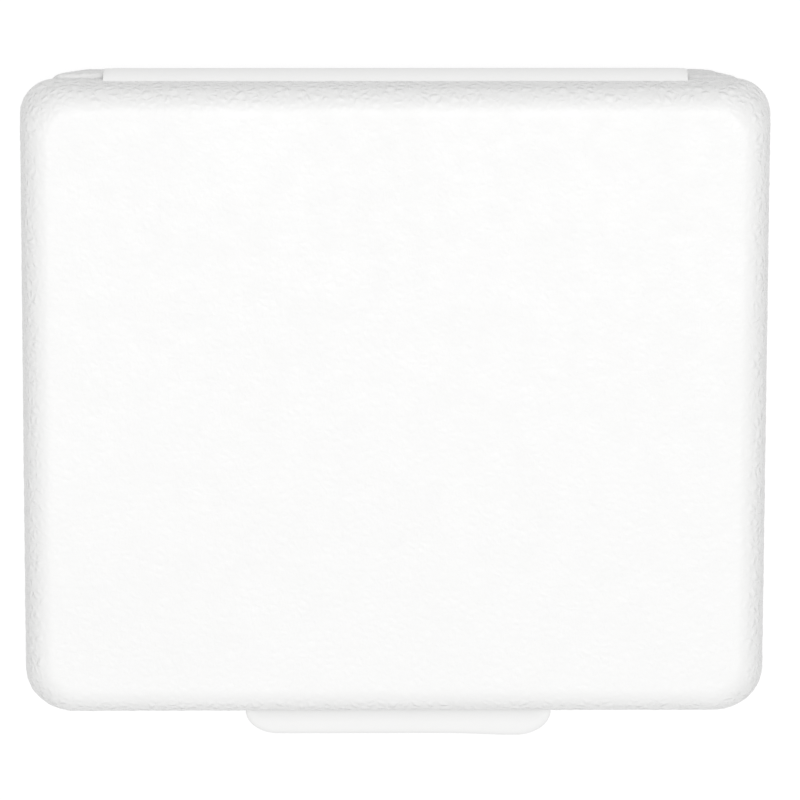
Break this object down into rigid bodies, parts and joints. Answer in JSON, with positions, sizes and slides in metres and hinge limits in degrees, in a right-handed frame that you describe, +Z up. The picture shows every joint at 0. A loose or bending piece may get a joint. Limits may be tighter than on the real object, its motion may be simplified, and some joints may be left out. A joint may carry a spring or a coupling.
{
  "type": "wet palette",
  "caption": "Shallow hinged wet palette case in grained white plastic, with a living hinge, a front lifting tab and a water tray that holds a sponge and a palette sheet.",
  "frame": {"origin": "middle of the underside, on the plane that the case stands on", "axes": "+X to the right seen from the tab, +Y to the hinge, +Z up through the lid"},
  "size_m": [0.216, 0.1982, 0.032],
  "materials": {
    "grained_plastic": "moulded pebble grain, satin",
    "smooth_plastic": "smooth moulded, satin",
    "sponge_foam": "open-cell foam, damp",
    "palette_paper": "thin uncoated membrane paper"
  },
  "bodies": {
    "base": {"base_shell": "grained_plastic", "base_tray": "smooth_plastic", "sponge": "sponge_foam", "palette_sheet": "palette_paper"},
    "band": {"hinge_band": "smooth_plastic"},
    "lid": {"lid_shell": "grained_plastic", "lid_liner": "smooth_plastic"},
    "tab": {"front_tab": "smooth_plastic"}
  },
  "joints": [
    {"name": "band_fold", "type": "hinge", "parent": "base", "child": "band", "pos_m": [0, 0.09465, 0.0148], "axis": [-1, 0, 0], "range_deg": [0, 90]},
    {"name": "lid_fold", "type": "hinge", "parent": "band", "child": "lid", "pos_m": [0, 0.09465, 0.0212], "axis": [-1, 0, 0], "range_deg": [0, 90]},
    {"name": "tab_flex", "type": "hinge", "parent": "lid", "child": "tab", "pos_m": [0.0015, -0.0952, 0.0196], "axis": [-1, 0, 0], "range_deg": [0, 20], "stiffness_Nm_per_rad": 0.004}
  ],
  "couplings": [
    {"joint": "band_fold", "follows": "lid_fold", "ratio": 1}
  ]
}
